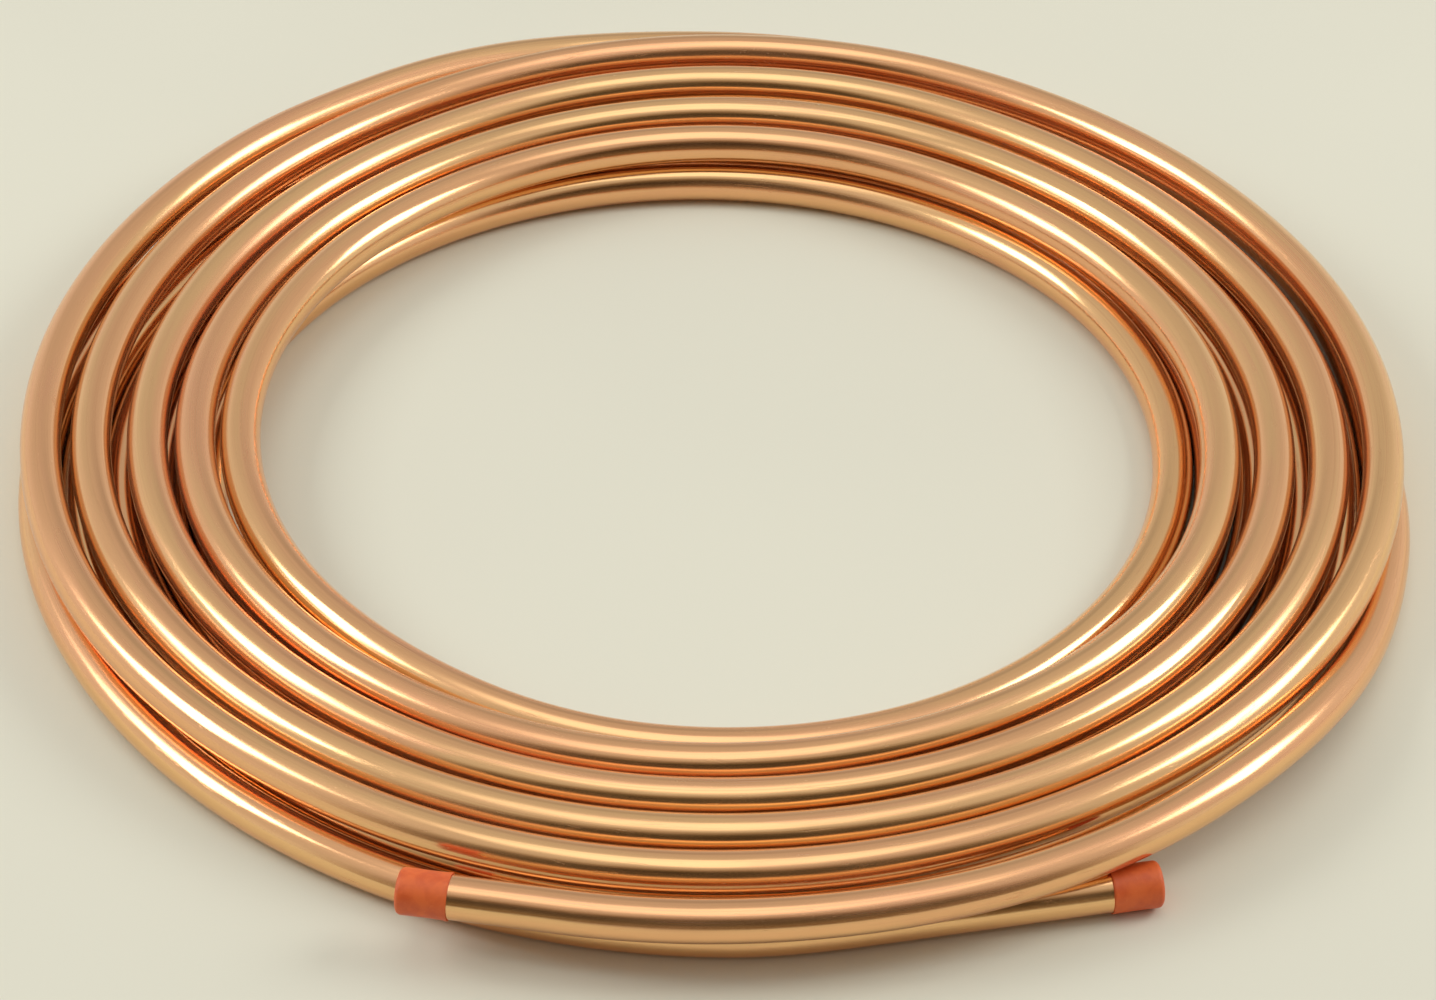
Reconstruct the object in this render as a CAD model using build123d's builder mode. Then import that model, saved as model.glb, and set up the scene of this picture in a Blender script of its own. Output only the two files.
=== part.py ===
import os
from math import cos, radians, sin, sqrt

from build123d import *

# Soft-drawn tube, which coiling leaves slightly wider than tall
tube_od = 15.875
tube_wall = 0.889
tube_ovality = 0.1

# Centre line of the outermost full turn, which the turns follow inward side by side
coil_radius = 262.0

# Top turns: on each side, how far inside that line the outermost one runs, and the clear gaps inward
back_left_angle = 138.0
back_left_inset = -7.3
back_left_gaps = [4.2, 8.7, 4.3, 3.0]
front_left_angle = 220.0
front_left_inset = 2.6
front_left_gaps = [2.5, 4.1, 1.9, 1.3]
front_angle = 265.0
front_inset = 0.8
front_gaps = [2.8, 2.8, 2.3, 2.2]
front_right_angle = 320.0
front_right_inset = -0.8
front_right_gaps = [1.9, 4.1, 3.8, 5.7]
right_inset = 0.4
right_gaps = [5.9, 5.4, 5.3, 0.2]
back_right_angle = 45.0
back_right_inset = 5.6
back_right_gaps = [9.9, 5.9, 5.7]
back_inset = 4.0
back_gaps = [8.9, 8.2, 6.0]

# Lower layer, which opens outward under the top one with an even gap on each side
layer_clearance = 0.35
drop_starts = 0.85
drop_halfway = 0.48
drop_ends = 0.1
entry_back_step = 5.2
entry_left_step = 4.3
entry_front_left_step = 0.8
entry_front_gap = 0.6
entry_front_right_gap = 3.6
lower_left_gap = 0.45
lower_front_left_gap = 0.35
lower_front_gap = 2.0
lower_front_right_gap = 2.2
lower_right_gap = 0.35
lower_back_gap = 1.4

# Upper end of the tube, and the outermost strand that it runs into
start_run = 56.0
start_angle = 259.5
outer_front_gap = 7.5
drop_angle = 308.0
drop_gap = 6.7
landing_angle = 345.0
landing_offset = 5.8
hidden_angle = 30.0
hidden_offset = 7.0
outer_back_gap = 0.8
outer_back_share = 0.43
rise_angle = 122.0
rise_offset = 7.0

# Lower end of the tube, which leaves the turns and runs out straight
end_angle = 281.0
end_offset = 0.5
end_run = 105.0

# Slip-on end caps
cap_wall = 0.6
cap_clearance = 0.06
cap_grip = 17.0
cap_end_wall = 1.5
cap_edge_radius = 1.2

half_width = tube_od / 2 + tube_ovality / 4
half_height = tube_od / 2 - tube_ovality / 4
cap_bore_radius = half_width + cap_clearance
cap_radius = cap_bore_radius + cap_wall
cap_lift = cap_radius - half_height
low = half_height
high = low + 2 * half_height + layer_clearance


def inward(radius, gaps):
    """Centre-line radii of neighbouring turns, each one tube and one gap inside the last."""
    radii = [radius]
    for gap in gaps:
        radii.append(radii[-1] - tube_od - gap)
    return radii


def outward(radius, gap, count):
    """Centre-line radii of evenly spaced turns, each one tube and one gap outside the last."""
    return [radius + turn * (tube_od + gap) for turn in range(count)]


turns = len(front_gaps)
top_back_left = inward(coil_radius - back_left_inset, back_left_gaps)
top_front_left = inward(coil_radius - front_left_inset, front_left_gaps)
top_front = inward(coil_radius - front_inset, front_gaps)
top_front_right = inward(coil_radius - front_right_inset, front_right_gaps)
top_right = inward(coil_radius - right_inset, right_gaps)
top_back_right = inward(coil_radius - back_right_inset, back_right_gaps)
top_back = inward(coil_radius - back_inset, back_gaps)
lower_left = outward(top_front_left[-2] - entry_left_step, lower_left_gap, turns + 1)
lower_front_left = outward(top_front_left[-2] - entry_front_left_step, lower_front_left_gap, turns + 1)
lower_front = outward(top_front[-1] + tube_od + entry_front_gap, lower_front_gap, turns + 1)
lower_front_right_start = top_front_right[-1] + tube_od + entry_front_right_gap
lower_front_right = outward(lower_front_right_start, lower_front_right_gap, turns)
lower_right = outward(top_right[-1], lower_right_gap, turns + 2)
lower_back = outward(top_back[-1] - entry_back_step, lower_back_gap, turns + 1)
outer_front = coil_radius + tube_od + outer_front_gap


def between_layers(share):
    """Height of the centre line a share of the way up from the lower layer."""
    return low + share * (high - low)


def outer_strand():
    """The start on top, the outermost strand underneath, and its rise to the top layer."""
    return [
        (start_angle, outer_front, high),
        (270, outer_front, high),
        (drop_angle, coil_radius + tube_od + drop_gap, high + cap_lift),
        (landing_angle, lower_right[-1] + landing_offset, low),
        (0, lower_right[-1], low),
        (hidden_angle, coil_radius + hidden_offset, low),
        (90, top_back[0] + tube_od + outer_back_gap, between_layers(outer_back_share)),
        (rise_angle, coil_radius + rise_offset, high),
    ]


def top_layer():
    """Turns that close inward, and the drop of the innermost one to the lower layer."""
    stations = []
    for turn in range(turns):
        stations.append((back_left_angle, top_back_left[turn], high))
        stations.append((front_left_angle, top_front_left[turn], high))
        stations.append((front_angle, top_front[turn], high))
        stations.append((front_right_angle, top_front_right[turn], high))
        stations.append((0, top_right[turn], high))
        stations.append((back_right_angle, top_back_right[turn], high))
        stations.append((90, top_back[turn], high))
    stations.append((back_left_angle, top_back_left[-1], high))
    stations.append((front_left_angle, top_front_left[-1], between_layers(drop_starts)))
    stations.append((front_angle, top_front[-1], between_layers(drop_halfway)))
    stations.append((front_right_angle, top_front_right[-1], between_layers(drop_ends)))
    stations.append((0, lower_right[0], low))
    stations.append((90, lower_back[0], low))
    return stations


def lower_layer():
    """Turns that open outward under the top layer, as far as the tube's lower end."""
    stations = []
    for turn in range(turns):
        stations.append((180, lower_left[turn], low))
        stations.append((front_left_angle, lower_front_left[turn], low))
        stations.append((270, lower_front[turn], low))
        stations.append((front_right_angle, lower_front_right[turn], low))
        stations.append((0, lower_right[turn + 1], low))
        stations.append((90, lower_back[turn + 1], low))
    stations.append((180, lower_left[-1], low))
    stations.append((front_left_angle, lower_front_left[-1], low))
    stations.append((270, lower_front[-1], low))
    stations.append((end_angle, lower_front[-1] + end_offset, low + cap_lift))
    return stations


def swing(here, there):
    """Angle in radians that the tube turns through from one station to the next."""
    return radians((there[0] - here[0]) % 360)


def drift(before, here, after):
    """How fast the radius changes with the angle at a station between two others."""
    return (after[1] - before[1]) / (swing(before, here) + swing(here, after))


def climb(before, here, after):
    """How fast the height changes with the angle, which is nothing where the tube levels out."""
    arriving = (here[2] - before[2]) / swing(before, here)
    leaving = (after[2] - here[2]) / swing(here, after)
    if arriving * leaving <= 0:
        return 0
    return min(arriving, leaving, key=abs)


def place(station, outward_rate=0, upward_rate=0):
    """Point on the centre line at a station, and the way the tube runs there."""
    angle, radius, height = station
    turned = radians(angle)
    radial = Vector(cos(turned), sin(turned), 0)
    along = Vector(-sin(turned), cos(turned), 0)
    way = along * radius + radial * outward_rate + Vector(0, 0, upward_rate)
    return radial * radius + Vector(0, 0, height), way.normalized()


def tangent_length(span, start_way, end_way):
    """Length of the two equal tangents that a pair of smoothly joined arcs needs."""
    square = 2 * (1 - start_way.dot(end_way))
    linear = 2 * span.dot(start_way + end_way)
    return (sqrt(linear**2 + 4 * square * span.dot(span)) - linear) / (2 * square)


def add_bend(start, end):
    """Two tangent arcs from one placed station to the next."""
    start_point, start_way = start
    end_point, end_way = end
    reach = tangent_length(end_point - start_point, start_way, end_way)
    middle = (start_point + start_way * reach + end_point - end_way * reach) * 0.5
    first = TangentArc(start_point, middle, tangent=start_way)
    TangentArc(middle, end_point, tangent=first % 1)


def end_cap(cut):
    """Closed plastic sleeve pushed over the tube until its end wall meets the cut."""
    mouth = cut.offset(-cap_grip)
    with BuildPart() as cap:
        with BuildSketch(mouth):
            Circle(cap_radius)
        extrude(amount=cap_grip + cap_end_wall)
        with BuildSketch(mouth):
            Circle(cap_bore_radius)
        extrude(amount=cap_grip, mode=Mode.SUBTRACT)
        closed_end = cap.faces().sort_by(Axis(cut.origin, cut.z_dir))[-1]
        fillet(closed_end.edges(), cap_edge_radius)
    return cap.part


stations = outer_strand() + top_layer() + lower_layer()
placed = [place(stations[0])]
for before, here, after in zip(stations, stations[1:], stations[2:]):
    placed.append(place(here, drift(before, here, after), climb(before, here, after)))
placed.append(place(stations[-1]))
first_point, first_way = placed[0]
last_point, last_way = placed[-1]

with BuildLine() as centre_line:
    Line(first_point - first_way * start_run, first_point)
    for start, end in zip(placed, placed[1:]):
        add_bend(start, end)
    Line(last_point, last_point + last_way * end_run)

route = centre_line.wire()
up = Vector(0, 0, 1)
start_cut = Plane(origin=route @ 0, x_dir=first_way.cross(up), z_dir=first_way * -1)
finish_cut = Plane(origin=route @ 1, x_dir=last_way.cross(up), z_dir=last_way)

with BuildPart() as copper_tube:
    with BuildSketch(start_cut):
        Ellipse(half_width, half_height)
    sweep(path=route)
    with BuildSketch(start_cut):
        Ellipse(half_width - tube_wall, half_height - tube_wall)
    sweep(path=route, mode=Mode.SUBTRACT)

start_cap = end_cap(start_cut)
finish_cap = end_cap(finish_cut)
pieces = {"copper_tube": copper_tube.part, "start_cap": start_cap, "finish_cap": finish_cap}
print("Tube length", round(route.length, 1))

# The origin is on the floor, under the middle of the whole outline
outline = Compound([piece.solid() for piece in pieces.values()]).bounding_box().center()
to_origin = Location((-outline.X, -outline.Y, 0))

os.makedirs("parts", exist_ok=True)
for name, piece in pieces.items():
    kept = piece.moved(to_origin)
    kept.label = name
    export_step(kept, f"parts/{name}.step")
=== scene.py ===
from math import atan2, ceil, cos, pi, radians, sin, sqrt

import bpy
import numpy as np
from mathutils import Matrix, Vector


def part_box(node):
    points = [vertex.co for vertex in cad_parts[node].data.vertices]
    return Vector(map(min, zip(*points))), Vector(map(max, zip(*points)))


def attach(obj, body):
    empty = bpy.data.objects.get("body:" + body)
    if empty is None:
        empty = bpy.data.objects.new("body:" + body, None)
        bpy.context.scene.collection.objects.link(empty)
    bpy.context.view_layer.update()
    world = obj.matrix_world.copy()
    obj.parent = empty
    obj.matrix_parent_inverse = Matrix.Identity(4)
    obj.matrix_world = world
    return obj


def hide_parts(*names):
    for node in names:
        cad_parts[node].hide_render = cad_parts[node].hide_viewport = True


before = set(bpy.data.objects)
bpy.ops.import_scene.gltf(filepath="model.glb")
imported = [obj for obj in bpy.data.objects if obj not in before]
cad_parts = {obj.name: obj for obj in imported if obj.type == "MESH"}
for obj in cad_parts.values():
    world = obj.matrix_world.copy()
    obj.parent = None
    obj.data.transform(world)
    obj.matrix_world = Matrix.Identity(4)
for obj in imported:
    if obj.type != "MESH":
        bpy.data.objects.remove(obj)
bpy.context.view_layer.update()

# Metres in a millimetre. Sizes are in millimetres and degrees as in the part, as far as the camera's
mm = 0.001

# Soft-drawn tube, which coiling leaves slightly wider than tall
tube_od = 15.875
tube_ovality = 0.1
half_width = tube_od / 2 + tube_ovality / 4
half_height = tube_od / 2 - tube_ovality / 4

# Centre line of the outermost full turn, which the turns follow inward side by side
coil_radius = 262.0

# Top turns: on each side, how far inside that line the outermost one runs, and the clear gaps inward
back_left_angle = 138.0
back_left_inset = -7.3
back_left_gaps = [4.2, 8.7, 4.3, 3.0]
front_left_angle = 220.0
front_left_inset = 2.6
front_left_gaps = [2.5, 4.1, 1.9, 1.3]
front_angle = 265.0
front_inset = 0.8
front_gaps = [2.8, 2.8, 2.3, 2.2]
front_right_angle = 320.0
front_right_inset = -0.8
front_right_gaps = [1.9, 4.1, 3.8, 5.7]
right_inset = 0.4
right_gaps = [5.9, 5.4, 5.3, 0.2]
back_right_angle = 45.0
back_right_inset = 5.6
back_right_gaps = [9.9, 5.9, 5.7]
back_inset = 4.0
back_gaps = [8.9, 8.2, 6.0]

# Lower layer, which opens outward under the top one with an even gap on each side
layer_clearance = 0.35
drop_starts = 0.85
drop_halfway = 0.48
drop_ends = 0.1
entry_back_step = 5.2
entry_left_step = 4.3
entry_front_left_step = 0.8
entry_front_gap = 0.6
entry_front_right_gap = 3.6
lower_left_gap = 0.45
lower_front_left_gap = 0.35
lower_front_gap = 2.0
lower_front_right_gap = 2.2
lower_right_gap = 0.35
lower_back_gap = 1.4

# Upper end of the tube, and the outermost strand that it runs into
start_run = 56.0
start_angle = 259.5
outer_front_gap = 7.5
drop_angle = 308.0
drop_gap = 6.7
landing_angle = 345.0
landing_offset = 5.8
hidden_angle = 30.0
hidden_offset = 7.0
outer_back_gap = 0.8
outer_back_share = 0.43
rise_angle = 122.0
rise_offset = 7.0

# Lower end of the tube, which leaves the turns and runs out straight
end_angle = 281.0
end_offset = 0.5
end_run = 105.0

# Slip-on end caps
cap_wall = 0.6
cap_clearance = 0.06
cap_grip = 17.0
cap_end_wall = 1.5
cap_edge_radius = 1.8

# Moulded form of the caps, which keeps inside the plain sleeve
cap_lip_inset = 0.1
cap_lip_length = 1.8
cap_lip_softness = 0.06
cap_sleeve_inset = 0.25
cap_waist_depth = 0.08
cap_dish_depth = 0.5
cap_mark_radius = 1.1
cap_mark_height = 0.35
cap_out_of_round = 0.055
cap_dents = 0.035
cap_dent_twist = 0.3
cap_fade_length = 6.0
cap_sides = 64
cap_edge_steps = 6

cap_bore_radius = half_width + cap_clearance
cap_radius = cap_bore_radius + cap_wall
cap_lift = cap_radius - half_height
low = half_height
high = low + 2 * half_height + layer_clearance

# Tube mesh, and the strips of its map for baking
ring_spacing = 5.6
ring_sides = 32
rings_per_strip = 160
map_margin = 0.01
strip_margin = 0.05

# Camera, whose target is on the coil, in metres
lens_mm = 110.18
sensor_width_mm = 36.0
camera_distance = 1.7
camera_elevation = 38.88
camera_target = Vector((0.0029, -0.0398, 0.016))
camera_reach = 50.0

# Floor and lamps, in metres
floor_reach = 12.0
softbox_size = 0.9
softbox_radiance = 4.7
softbox_colour = (1.0, 1.0, 0.98)
left_softbox = (-1.6, 0.1, 1.3)
right_softbox = (1.6, 0.17, 1.3)

# Light of the room in each direction, where its dark side ends, and the colours of both sides
overhead_light = 0.85
room_light = 0.62
viewer_side_light = 0.06
horizon_light = 0.12
back_shade = -0.05
low_back_shade = -0.16
viewer_side_ends = -0.76
room_begins = -0.41
viewer_side_colour = (1.0, 0.72, 0.42, 1)
room_colour = (1.0, 0.985, 0.95, 1)


def inward(radius, gaps):
    """Centre-line radii of neighbouring turns, each one tube and one gap inside the last."""
    radii = [radius]
    for gap in gaps:
        radii.append(radii[-1] - tube_od - gap)
    return radii


def outward(radius, gap, count):
    """Centre-line radii of evenly spaced turns, each one tube and one gap outside the last."""
    return [radius + turn * (tube_od + gap) for turn in range(count)]


turns = len(front_gaps)
top_back_left = inward(coil_radius - back_left_inset, back_left_gaps)
top_front_left = inward(coil_radius - front_left_inset, front_left_gaps)
top_front = inward(coil_radius - front_inset, front_gaps)
top_front_right = inward(coil_radius - front_right_inset, front_right_gaps)
top_right = inward(coil_radius - right_inset, right_gaps)
top_back_right = inward(coil_radius - back_right_inset, back_right_gaps)
top_back = inward(coil_radius - back_inset, back_gaps)
lower_left = outward(top_front_left[-2] - entry_left_step, lower_left_gap, turns + 1)
lower_front_left = outward(top_front_left[-2] - entry_front_left_step, lower_front_left_gap, turns + 1)
lower_front = outward(top_front[-1] + tube_od + entry_front_gap, lower_front_gap, turns + 1)
lower_front_right_start = top_front_right[-1] + tube_od + entry_front_right_gap
lower_front_right = outward(lower_front_right_start, lower_front_right_gap, turns)
lower_right = outward(top_right[-1], lower_right_gap, turns + 2)
lower_back = outward(top_back[-1] - entry_back_step, lower_back_gap, turns + 1)
outer_front = coil_radius + tube_od + outer_front_gap


def between_layers(share):
    """Height of the centre line a share of the way up from the lower layer."""
    return low + share * (high - low)


def outer_strand():
    """The start on top, the outermost strand underneath, and its rise to the top layer."""
    return [
        (start_angle, outer_front, high),
        (270, outer_front, high),
        (drop_angle, coil_radius + tube_od + drop_gap, high + cap_lift),
        (landing_angle, lower_right[-1] + landing_offset, low),
        (0, lower_right[-1], low),
        (hidden_angle, coil_radius + hidden_offset, low),
        (90, top_back[0] + tube_od + outer_back_gap, between_layers(outer_back_share)),
        (rise_angle, coil_radius + rise_offset, high),
    ]


def top_layer():
    """Turns that close inward, and the drop of the innermost one to the lower layer."""
    stations = []
    for turn in range(turns):
        stations.append((back_left_angle, top_back_left[turn], high))
        stations.append((front_left_angle, top_front_left[turn], high))
        stations.append((front_angle, top_front[turn], high))
        stations.append((front_right_angle, top_front_right[turn], high))
        stations.append((0, top_right[turn], high))
        stations.append((back_right_angle, top_back_right[turn], high))
        stations.append((90, top_back[turn], high))
    stations.append((back_left_angle, top_back_left[-1], high))
    stations.append((front_left_angle, top_front_left[-1], between_layers(drop_starts)))
    stations.append((front_angle, top_front[-1], between_layers(drop_halfway)))
    stations.append((front_right_angle, top_front_right[-1], between_layers(drop_ends)))
    stations.append((0, lower_right[0], low))
    stations.append((90, lower_back[0], low))
    return stations


def lower_layer():
    """Turns that open outward under the top layer, as far as the tube's lower end."""
    stations = []
    for turn in range(turns):
        stations.append((180, lower_left[turn], low))
        stations.append((front_left_angle, lower_front_left[turn], low))
        stations.append((270, lower_front[turn], low))
        stations.append((front_right_angle, lower_front_right[turn], low))
        stations.append((0, lower_right[turn + 1], low))
        stations.append((90, lower_back[turn + 1], low))
    stations.append((180, lower_left[-1], low))
    stations.append((front_left_angle, lower_front_left[-1], low))
    stations.append((270, lower_front[-1], low))
    stations.append((end_angle, lower_front[-1] + end_offset, low + cap_lift))
    return stations


def swing(here, there):
    """Angle in radians that the tube turns through from one station to the next."""
    return radians((there[0] - here[0]) % 360)


def drift(before, here, after):
    """How fast the radius changes with the angle at a station between two others."""
    return (after[1] - before[1]) / (swing(before, here) + swing(here, after))


def climb(before, here, after):
    """How fast the height changes with the angle, which is nothing where the tube levels out."""
    arriving = (here[2] - before[2]) / swing(before, here)
    leaving = (after[2] - here[2]) / swing(here, after)
    if arriving * leaving <= 0:
        return 0
    return min(arriving, leaving, key=abs)


def place(station, outward_rate=0, upward_rate=0):
    """Point on the centre line at a station, and the way the tube runs there."""
    angle, radius, height = station
    turned = radians(angle)
    radial = Vector((cos(turned), sin(turned), 0))
    along = Vector((-sin(turned), cos(turned), 0))
    way = along * radius + radial * outward_rate + Vector((0, 0, upward_rate))
    return radial * radius + Vector((0, 0, height)), way.normalized()


def tangent_length(span, start_way, end_way):
    """Length of the two equal tangents that a pair of smoothly joined arcs needs."""
    square = 2 * (1 - start_way.dot(end_way))
    linear = 2 * span.dot(start_way + end_way)
    return (sqrt(linear**2 + 4 * square * span.dot(span)) - linear) / (2 * square)


def arc(start, way, end):
    """Evenly spaced points on the arc that leaves start along way and meets end, and its last direction."""
    chord = end - start
    across = chord - way * chord.dot(way)
    turned = 2 * atan2(across.length, chord.dot(way))
    radius = chord.length / (2 * sin(turned / 2))
    outward_way = across.normalized() * -1
    steps = ceil(radius * turned / ring_spacing)
    centre = start - outward_way * radius
    points = []
    for step in range(steps):
        swung = turned * step / steps
        points.append(centre + outward_way * radius * cos(swung) + way * radius * sin(swung))
    return points, way * cos(turned) - outward_way * sin(turned)


def centre_line():
    """Points along the whole tube, from the upper end to the lower one."""
    stations = outer_strand() + top_layer() + lower_layer()
    placed = [place(stations[0])]
    for before, here, after in zip(stations, stations[1:], stations[2:]):
        placed.append(place(here, drift(before, here, after), climb(before, here, after)))
    placed.append(place(stations[-1]))
    first_point, first_way = placed[0]
    last_point, last_way = placed[-1]
    count = ceil(start_run / ring_spacing)
    points = [first_point - first_way * start_run * (1 - step / count) for step in range(count)]
    for (start_point, start_way), (end_point, end_way) in zip(placed, placed[1:]):
        reach = tangent_length(end_point - start_point, start_way, end_way)
        middle = (start_point + start_way * reach + end_point - end_way * reach) * 0.5
        first_arc, middle_way = arc(start_point, start_way, middle)
        second_arc, _ = arc(middle, middle_way, end_point)
        points += first_arc + second_arc
    count = ceil(end_run / ring_spacing)
    points += [last_point + last_way * end_run * step / count for step in range(count + 1)]
    return points, first_way * -1, last_way


def to_frame(points):
    """Points in metres, moved so that their middle is over the middle of the solid tube."""
    moved = np.array([tuple(point) for point in points]) * mm
    low_corner, high_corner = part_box("copper_tube")
    for axis in (0, 1):
        middle = (moved[:, axis].min() + moved[:, axis].max()) / 2
        moved[:, axis] += (low_corner[axis] + high_corner[axis]) / 2 - middle
    return moved


def new_object(name, vertices, faces):
    """A mesh object with smooth faces."""
    mesh = bpy.data.meshes.new(name)
    mesh.from_pydata([tuple(vertex) for vertex in vertices], [], faces)
    mesh.polygons.foreach_set("use_smooth", [True] * len(mesh.polygons))
    mesh.update()
    thing = bpy.data.objects.new(name, mesh)
    bpy.context.scene.collection.objects.link(thing)
    return thing


def tube_rings(points):
    """Vertices of the tube's outside, in a ring round each point of its centre line."""
    ways = np.gradient(points, axis=0)
    ways /= np.linalg.norm(ways, axis=1)[:, None]
    sides = np.cross(ways, [0.0, 0.0, 1.0])
    sides /= np.linalg.norm(sides, axis=1)[:, None]
    tops = np.cross(sides, ways)
    turned = np.arange(ring_sides) * 2 * pi / ring_sides - pi / 2
    sideways = sides[:, None] * np.cos(turned)[None, :, None] * half_width * mm
    upwards = tops[:, None] * np.sin(turned)[None, :, None] * half_height * mm
    return (points[:, None] + sideways + upwards).reshape(-1, 3)


def tube_mesh(points):
    """The tube's outside, with a map of its length and of the turn round it, and one for baking."""
    steps = np.linalg.norm(np.diff(points, axis=0), axis=1)
    lengths = np.concatenate([[0.0], np.cumsum(steps)])
    rings = len(points)
    strips = ceil((rings - 1) / rings_per_strip)
    faces = []
    along = []
    packed = []
    for ring in range(rings - 1):
        strip = ring // rings_per_strip
        inside = ring % rings_per_strip
        for side in range(ring_sides):
            beside = (side + 1) % ring_sides
            here = ring * ring_sides
            there = here + ring_sides
            faces.append((here + side, there + side, there + beside, here + beside))
            for step, turn in ((0, side), (1, side), (1, side + 1), (0, side + 1)):
                along.append((lengths[ring + step], turn / ring_sides))
                packed_x = map_margin + (1 - 2 * map_margin) * (inside + step) / rings_per_strip
                packed_y = (strip + strip_margin + (1 - 2 * strip_margin) * turn / ring_sides) / strips
                packed.append((packed_x, packed_y))
    for ring in (0, rings - 1):
        loop = [ring * ring_sides + side for side in range(ring_sides)]
        faces.append(loop if ring else loop[::-1])
        along += [(lengths[ring], 0.0)] * ring_sides
        packed += [(map_margin / 2, map_margin / 10 * side / ring_sides) for side in range(ring_sides)]
    tube = new_object("tube_coil", tube_rings(points), faces)
    for name, values in (("Along", along), ("OFBake", packed)):
        layer = tube.data.uv_layers.new(name=name)
        layer.data.foreach_set("uv", np.array(values, np.float32).ravel())
    return tube


def cap_profile():
    """Distance from the mouth and radius of the cap's outline, from inside the mouth to the closed end."""
    length = cap_grip + cap_end_wall
    lip = cap_radius - cap_lip_inset
    sleeve = cap_radius - cap_sleeve_inset
    waist = sleeve - cap_waist_depth
    dish = length - cap_dish_depth
    profile = [
        (2.0, cap_bore_radius),
        (0.3, cap_bore_radius),
        (0.05, cap_bore_radius + 0.1),
        (0.0, sleeve - 0.1),
        (0.15, lip - cap_lip_softness),
        (0.7, lip),
        (1.3, lip - cap_lip_softness),
        (cap_lip_length, sleeve),
        (4.5, waist + 0.02),
        (8.0, waist),
        (11.5, waist + 0.02),
        (14.5, sleeve),
    ]
    for step in range(cap_edge_steps + 1):
        swung = radians(90 * step / cap_edge_steps)
        distance = length - cap_edge_radius * (1 - sin(swung))
        profile.append((distance, sleeve - cap_edge_radius * (1 - cos(swung))))
    profile += [
        (length - 0.05, sleeve - cap_edge_radius - 1.2),
        (length - 0.35, sleeve / 2),
        (dish, sleeve / 4),
        (dish, cap_mark_radius),
        (dish + cap_mark_height, cap_mark_radius - 0.2),
        (dish + cap_mark_height + 0.05, cap_mark_radius - 0.65),
    ]
    return profile


def soft_cap(name, end_point, out_way, phase):
    """A moulded cap of soft plastic, whose sleeve is pressed a little out of round."""
    side = out_way.cross(Vector((0, 0, 1))).normalized()
    top = side.cross(out_way)
    mouth = end_point - out_way * cap_grip * mm
    vertices = []
    profile = cap_profile()
    for distance, radius in profile:
        for step in range(cap_sides):
            swung = 2 * pi * step / cap_sides
            pressed = cap_out_of_round * cos(2 * swung + phase)
            pressed += cap_dents * cos(5 * swung + 2 * phase + distance * cap_dent_twist)
            pressed *= min(1.0, distance / cap_fade_length) * min(1.0, radius / cap_radius)
            round_way = side * cos(swung) + top * sin(swung)
            vertices.append(mouth + (out_way * distance + round_way * (radius + pressed)) * mm)
    vertices.append(mouth + out_way * profile[-1][0] * mm)
    faces = []
    for ring in range(len(profile) - 1):
        for step in range(cap_sides):
            beside = (step + 1) % cap_sides
            here = ring * cap_sides
            there = here + cap_sides
            faces.append((here + step, here + beside, there + beside, there + step))
    last = (len(profile) - 1) * cap_sides
    for step in range(cap_sides):
        faces.append((last + step, last + (step + 1) % cap_sides, len(vertices) - 1))
    cap = new_object(name, vertices, faces)
    rounding = cap.modifiers.new("rounding", "SUBSURF")
    rounding.levels = 1
    rounding.render_levels = 1
    return cap


class Graph:
    """The nodes of a material or of the world, added one after another."""

    def __init__(self, owner):
        owner.use_nodes = True
        self.nodes = owner.node_tree.nodes
        self.links = owner.node_tree.links

    def add(self, kind, inputs=(), **settings):
        """A node of that kind, with its settings and its sockets set or linked."""
        node = self.nodes.new(kind)
        for key, value in settings.items():
            setattr(node, key, value)
        for socket, value in dict(inputs).items():
            self.set(node, socket, value)
        return node

    def set(self, node, socket, value):
        """Link a socket to another node's output, or give it a constant value."""
        if isinstance(value, bpy.types.NodeSocket):
            self.links.new(value, node.inputs[socket])
        else:
            node.inputs[socket].default_value = value

    def math(self, operation, first, second=0.0):
        """One or two values put through that operation."""
        return self.add("ShaderNodeMath", {0: first, 1: second}, operation=operation).outputs[0]

    def noise(self, vector, scale, detail=3.0, roughness=0.5, distortion=0.0):
        """Cloudy noise from 0 to 1 at a point."""
        inputs = {
            "Vector": vector,
            "Scale": scale,
            "Detail": detail,
            "Roughness": roughness,
            "Distortion": distortion,
        }
        return self.add("ShaderNodeTexNoise", inputs).outputs["Fac"]

    def remap(self, value, start, end, low_value=0.0, high_value=1.0):
        """A value eased from low_value, at start, to high_value, at end."""
        inputs = {0: value, 1: start, 2: end, 3: low_value, 4: high_value}
        node = self.add("ShaderNodeMapRange", inputs, interpolation_type="SMOOTHSTEP")
        return node.outputs[0]

    def mix(self, factor, first, second):
        """One colour blended into the other, by the node's colour sockets."""
        node = self.add("ShaderNodeMix", data_type="RGBA")
        self.set(node, 0, factor)
        self.set(node, 6, first)
        self.set(node, 7, second)
        return node.outputs[2]

    def round_tube(self, length, around, along_scale, around_scale):
        """A point for noise that has no seam round the tube."""
        inputs = {
            0: self.math("MULTIPLY", length, along_scale),
            1: self.math("MULTIPLY", self.math("COSINE", around), around_scale),
            2: self.math("MULTIPLY", self.math("SINE", around), around_scale),
        }
        return self.add("ShaderNodeCombineXYZ", inputs).outputs[0]


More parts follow.
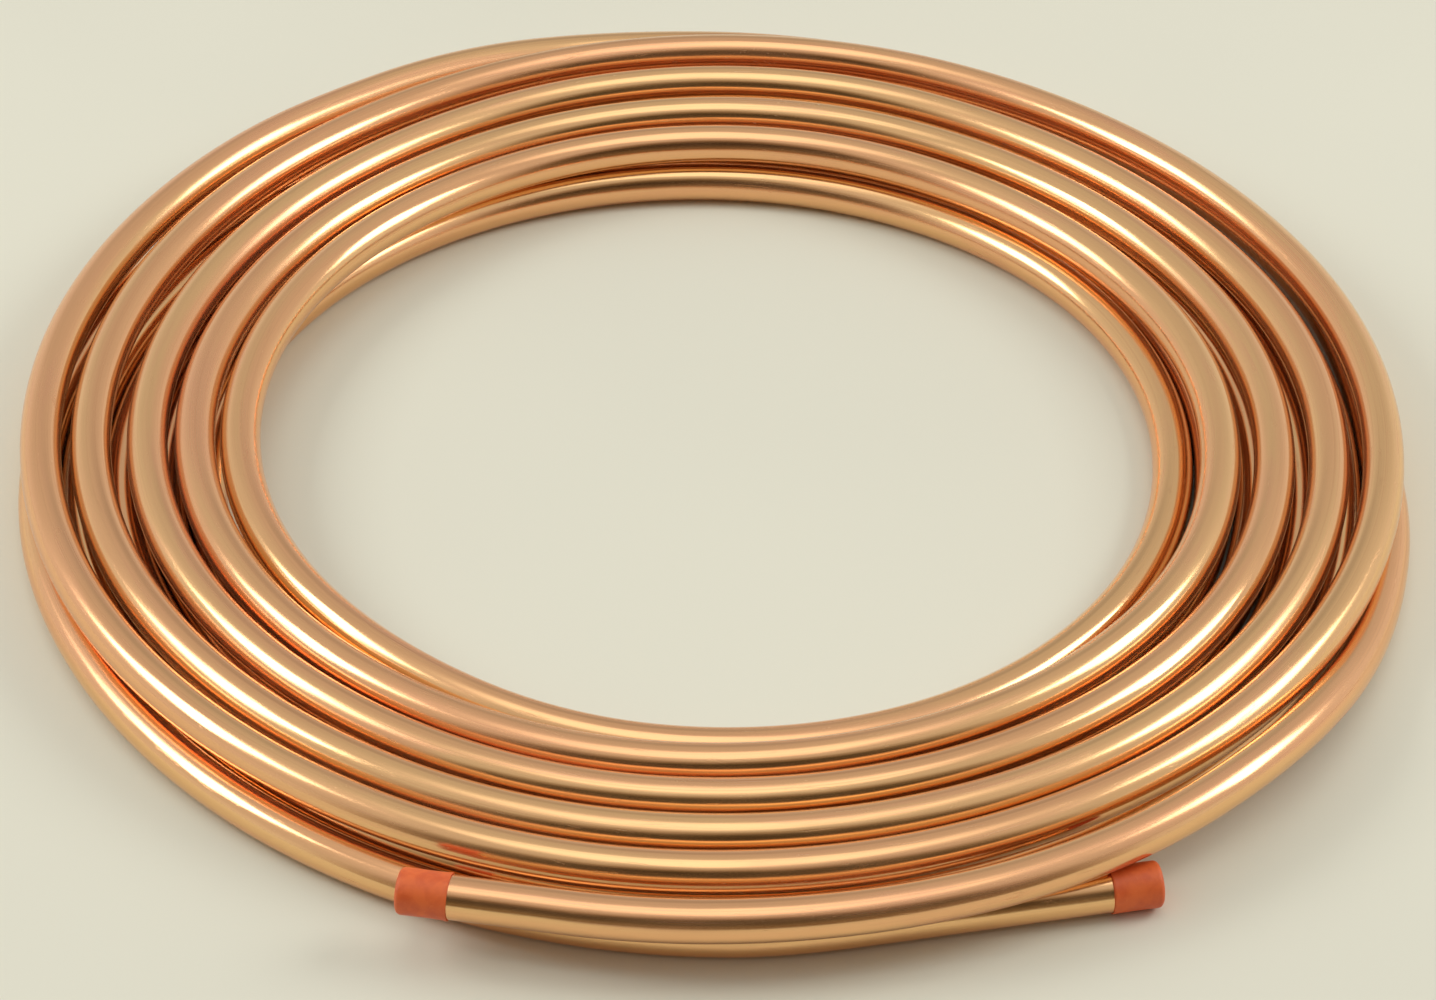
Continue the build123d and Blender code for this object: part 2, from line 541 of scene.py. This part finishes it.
class Shader(Graph):
    """A material and its surface."""

    def __init__(self, name):
        self.material = bpy.data.materials.new(name)
        super().__init__(self.material)
        self.surface = self.nodes["Principled BSDF"]

    def bump(self, height, strength, depth):
        """Relief of that depth in metres, given to the surface."""
        inputs = {"Height": height, "Strength": strength, "Distance": depth}
        self.set(self.surface, "Normal", self.add("ShaderNodeBump", inputs).outputs[0])


def copper_material():
    """Bright drawn copper with fine drawing lines, handling marks and a thin uneven tarnish."""
    shader = Shader("bright_copper")
    where = shader.add("ShaderNodeUVMap", uv_map="Along").outputs[0]
    parts = shader.add("ShaderNodeSeparateXYZ", {0: where})
    length = parts.outputs["X"]
    around = shader.math("MULTIPLY", parts.outputs["Y"], 2 * pi)

    lines = shader.noise(shader.round_tube(length, around, 1.6, 13.0), 1.0, 4.0, 0.6)
    fine_lines = shader.noise(shader.round_tube(length, around, 5.0, 42.0), 1.0, 2.0, 0.6)
    patches = shader.noise(shader.round_tube(length, around, 9.0, 0.9), 1.0, 4.0, 0.55, 0.4)
    tone = shader.noise(shader.round_tube(length, around, 2.2, 0.55), 1.0, 2.0, 0.5)
    marks = shader.noise(shader.round_tube(length, around, 55.0, 3.2), 1.0, 5.0, 0.65, 0.8)
    ripple = shader.noise(shader.round_tube(length, around, 16.0, 0.7), 1.0, 2.0, 0.5)

    bright = (0.92, 0.5, 0.25, 1)
    golden = (0.92, 0.56, 0.265, 1)
    rosy = (0.89, 0.455, 0.245, 1)
    tarnish = (0.68, 0.32, 0.15, 1)
    colour = shader.mix(shader.remap(tone, 0.42, 0.62), golden, bright)
    colour = shader.mix(shader.remap(patches, 0.5, 0.72, 0.0, 0.75), colour, rosy)
    colour = shader.mix(shader.remap(lines, 0.5, 0.75, 0.0, 0.3), colour, tarnish)
    colour = shader.mix(shader.remap(marks, 0.6, 0.78, 0.0, 0.45), colour, tarnish)
    shader.set(shader.surface, "Base Color", colour)
    shader.set(shader.surface, "Metallic", shader.remap(patches, 0.3, 0.7, 0.98, 0.91))

    roughness = shader.remap(patches, 0.35, 0.7, 0.15, 0.25)
    roughness = shader.math("ADD", roughness, shader.remap(lines, 0.4, 0.7, -0.02, 0.06))
    roughness = shader.math("ADD", roughness, shader.remap(marks, 0.58, 0.75, 0.0, 0.12))
    shader.set(shader.surface, "Roughness", roughness)

    grain = shader.math("MULTIPLY", fine_lines, 0.06)
    grain = shader.math("ADD", grain, shader.math("MULTIPLY", lines, 0.2))
    grain = shader.math("ADD", grain, shader.math("MULTIPLY", ripple, 4.0))
    grain = shader.math("SUBTRACT", grain, shader.remap(marks, 0.6, 0.8, 0.0, 0.4))
    shader.bump(grain, 0.5, 0.12 * mm)
    return shader.material


def cap_material():
    """Soft orange-red plastic with a faint mottle and light scuffs."""
    shader = Shader("cap_plastic")
    where = shader.add("ShaderNodeTexCoord").outputs["Object"]
    cloud = shader.noise(where, 160.0, 3.0, 0.5, 0.3)
    pores = shader.noise(where, 2400.0, 3.0, 0.6)
    scuffs = shader.noise(where, 620.0, 5.0, 0.7, 1.5)
    deep = (0.68, 0.105, 0.02, 1)
    plain = (0.8, 0.15, 0.03, 1)
    rubbed = (0.85, 0.24, 0.07, 1)
    colour = shader.mix(shader.remap(cloud, 0.35, 0.65), deep, plain)
    colour = shader.mix(shader.remap(scuffs, 0.58, 0.75, 0.0, 0.6), colour, rubbed)
    shader.set(shader.surface, "Base Color", colour)
    shader.set(shader.surface, "Roughness", shader.remap(cloud, 0.3, 0.7, 0.42, 0.58))
    shader.set(shader.surface, "IOR", 1.5)
    grain = shader.math("ADD", shader.math("MULTIPLY", pores, 0.3), scuffs)
    shader.bump(grain, 0.35, 0.2 * mm)
    return shader.material


def floor_material():
    """Pale warm paper."""
    shader = Shader("pale_floor")
    where = shader.add("ShaderNodeTexCoord").outputs["Object"]
    cloud = shader.noise(where, 3.0, 2.0)
    shaded = (0.755, 0.745, 0.63, 1)
    plain = (0.775, 0.765, 0.645, 1)
    shader.set(shader.surface, "Base Color", shader.mix(shader.remap(cloud, 0.3, 0.7), shaded, plain))
    shader.set(shader.surface, "Roughness", 0.75)
    return shader.material


def add_floor():
    """A level floor that reaches well past the picture."""
    reach = floor_reach
    corners = [(-reach, -reach, 0), (reach, -reach, 0), (reach, reach, 0), (-reach, reach, 0)]
    floor = new_object("floor", corners, [(0, 1, 2, 3)])
    floor.data.materials.append(floor_material())


def add_softbox(name, place_at):
    """A square lamp that faces the middle of the coil."""
    lamp = bpy.data.lights.new(name, "AREA")
    lamp.shape = "SQUARE"
    lamp.size = softbox_size
    lamp.energy = softbox_radiance * pi * softbox_size**2
    lamp.color = softbox_colour
    thing = bpy.data.objects.new(name, lamp)
    thing.location = place_at
    thing.rotation_euler = (Vector(place_at) * -1).to_track_quat("-Z", "Y").to_euler()
    bpy.context.scene.collection.objects.link(thing)


def add_world():
    """A soft room: bright straight above, mid grey all round, and dark low on the viewer's side."""
    world = bpy.data.worlds.new("studio")
    bpy.context.scene.world = world
    graph = Graph(world)
    direction = graph.add("ShaderNodeTexCoord").outputs["Generated"]
    parts = graph.add("ShaderNodeSeparateXYZ", {0: direction})
    away = parts.outputs["Y"]
    upward = parts.outputs["Z"]

    def towards(way):
        inputs = {0: direction, 1: way}
        return graph.add("ShaderNodeVectorMath", inputs, operation="DOT_PRODUCT").outputs["Value"]

    lights = [
        graph.remap(upward, 0.91, 0.975, 0.0, overhead_light),
        graph.remap(away, viewer_side_ends, room_begins, viewer_side_light, room_light),
        graph.remap(upward, 0.1, 0.5, horizon_light, 0.0),
        graph.remap(towards((0.0, 0.87, 0.5)), 0.8, 0.95, 0.0, back_shade),
        graph.remap(towards((0.0, 0.945, 0.33)), 0.94, 0.99, 0.0, low_back_shade),
    ]
    total = lights[0]
    for light in lights[1:]:
        total = graph.math("ADD", total, light)
    in_room = graph.remap(away, viewer_side_ends, room_begins)
    background = graph.nodes["Background"]
    graph.set(background, "Color", graph.mix(in_room, viewer_side_colour, room_colour))
    graph.set(background, "Strength", total)


def add_camera():
    """The photo's view of the coil."""
    camera = bpy.data.cameras.new("camera")
    camera.lens = lens_mm
    camera.sensor_width = sensor_width_mm
    camera.clip_end = camera_reach
    viewer = bpy.data.objects.new("camera", camera)
    raised = radians(camera_elevation)
    back_off = Vector((0, -cos(raised), sin(raised))) * camera_distance
    viewer.location = camera_target + back_off
    viewer.rotation_euler = (back_off * -1).to_track_quat("-Z", "Y").to_euler()
    bpy.context.scene.collection.objects.link(viewer)
    bpy.context.scene.camera = viewer


bpy.context.scene.view_settings.view_transform = "Standard"
add_camera()
add_floor()
add_world()
add_softbox("left_softbox", left_softbox)
add_softbox("right_softbox", right_softbox)

line, start_out, finish_out = centre_line()
framed_line = to_frame(line)
tube = tube_mesh(framed_line)
tube.data.materials.append(copper_material())
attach(tube, "root")
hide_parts("copper_tube")

plastic = cap_material()
start_cap = soft_cap("upper_end_cap", Vector(framed_line[0]), start_out, 0.4)
finish_cap = soft_cap("lower_end_cap", Vector(framed_line[-1]), finish_out, 2.1)
for cap, node in ((start_cap, "start_cap"), (finish_cap, "finish_cap")):
    cap.data.materials.append(plastic)
    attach(cap, "root")
    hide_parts(node)
